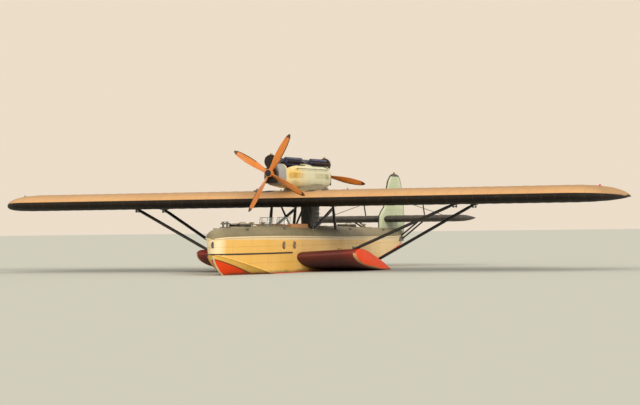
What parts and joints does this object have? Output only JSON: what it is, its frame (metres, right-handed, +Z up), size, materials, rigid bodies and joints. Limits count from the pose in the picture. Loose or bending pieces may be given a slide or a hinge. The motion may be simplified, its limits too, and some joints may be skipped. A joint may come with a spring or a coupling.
{
  "type": "flying boat",
  "caption": "Flying boat with a stepped hull, side sponsons, a strut-braced wing above the hull and engines in tandem on it, one pulling and one pushing.",
  "frame": {"origin": "on the waterline, on the centreline, below the middle of the wing chord", "axes": "+X to port along the span, -Y towards the nose, +Z up"},
  "size_m": [22.5, 17.2186, 5.1906],
  "materials": {
    "hull_paint": "semi-gloss golden yellow paint",
    "deck_paint": "matt grey-olive deck paint",
    "bottom_paint": "orange-red bottom paint",
    "wing_skin": "warm cream above, near black below",
    "tail_skin": "dark charcoal",
    "fin_skin": "pale green-cream",
    "dark_paint": "satin black",
    "fitting_metal": "worn",
    "engine_metal": "dark blue-grey castings",
    "radiator_metal": "blackened core",
    "propeller_wood": "orange varnish",
    "leather": "worn brown",
    "glass": "clear"
  },
  "bodies": {
    "airframe": {"hull_bow": "hull_paint", "hull_middle": "hull_paint", "hull_aft": "hull_paint", "deck_bow": "deck_paint", "deck_middle": "deck_paint", "deck_aft": "deck_paint", "rubbing_strake": "dark_paint", "bow_hatch_coaming": "dark_paint", "aft_hatch_coaming": "dark_paint", "mooring_bollard": "fitting_metal", "cockpit_coaming": "leather", "instrument_panel": "dark_paint", "seat_port": "leather", "seat_stbd": "leather", "windscreen_port": "glass", "windscreen_stbd": "glass", "control_column": "fitting_metal", "sponson_port": "bottom_paint", "sponson_stbd": "bottom_paint", "wing_centre": "wing_skin", "wing_port": "wing_skin", "wing_stbd": "wing_skin", "wing_strut_front_port": "dark_paint", "wing_strut_rear_port": "dark_paint", "wing_strut_front_stbd": "dark_paint", "wing_strut_rear_stbd": "dark_paint", "cabane_port": "dark_paint", "cabane_stbd": "dark_paint", "cabane_braces": "dark_paint", "pylon": "dark_paint", "nacelle": "hull_paint", "front_engine": "engine_metal", "rear_engine": "engine_metal", "front_radiator": "radiator_metal", "rear_radiator": "radiator_metal", "fin": "fin_skin", "tailplane_port": "tail_skin", "tailplane_stbd": "tail_skin", "tail_struts_port": "dark_paint", "tail_struts_stbd": "dark_paint"},
    "front_propeller": {"front_propeller": "propeller_wood"},
    "rear_propeller": {"rear_propeller": "propeller_wood"},
    "aileron_port": {"aileron_port": "wing_skin"},
    "aileron_stbd": {"aileron_stbd": "wing_skin"},
    "elevator": {"elevator_port": "tail_skin", "elevator_stbd": "tail_skin", "balance_plane_port": "tail_skin", "balance_plane_stbd": "tail_skin"},
    "rudder": {"rudder": "fin_skin"},
    "bow_hatch_lid": {"bow_hatch_lid": "deck_paint"},
    "aft_hatch_lid": {"aft_hatch_lid": "deck_paint"}
  },
  "joints": [
    {"name": "front_propeller_spin", "type": "hinge", "parent": "airframe", "child": "front_propeller", "pos_m": [0, -2.904, 3.261], "axis": [0, 1, 0], "continuous": true},
    {"name": "rear_propeller_spin", "type": "hinge", "parent": "airframe", "child": "rear_propeller", "pos_m": [0, 2.108, 3.261], "axis": [0, 1, 0], "continuous": true},
    {"name": "aileron_port_hinge", "type": "hinge", "parent": "airframe", "child": "aileron_port", "pos_m": [7.95, 1.285, 2.42215], "axis": [1, 0, 0], "range_deg": [-20, 20]},
    {"name": "aileron_stbd_hinge", "type": "hinge", "parent": "airframe", "child": "aileron_stbd", "pos_m": [-7.95, 1.285, 2.42215], "axis": [1, 0, 0], "range_deg": [-20, 20]},
    {"name": "elevator_hinge", "type": "hinge", "parent": "airframe", "child": "elevator", "pos_m": [0, 8.8, 1.757], "axis": [1, 0, 0], "range_deg": [-22, 25]},
    {"name": "rudder_hinge", "type": "hinge", "parent": "airframe", "child": "rudder", "pos_m": [0, 9.01, 1.5], "axis": [0, 0, 1], "range_deg": [-25, 25]},
    {"name": "bow_hatch_hinge", "type": "hinge", "parent": "airframe", "child": "bow_hatch_lid", "pos_m": [0, -5.65, 1.59297], "axis": [1, 0, 0], "range_deg": [0, 100]},
    {"name": "aft_hatch_hinge", "type": "hinge", "parent": "airframe", "child": "aft_hatch_lid", "pos_m": [0, 3.5, 1.55172], "axis": [1, 0, 0], "range_deg": [0, 100]}
  ],
  "couplings": [
    {"joint": "aileron_stbd_hinge", "follows": "aileron_port_hinge", "ratio": -1}
  ]
}
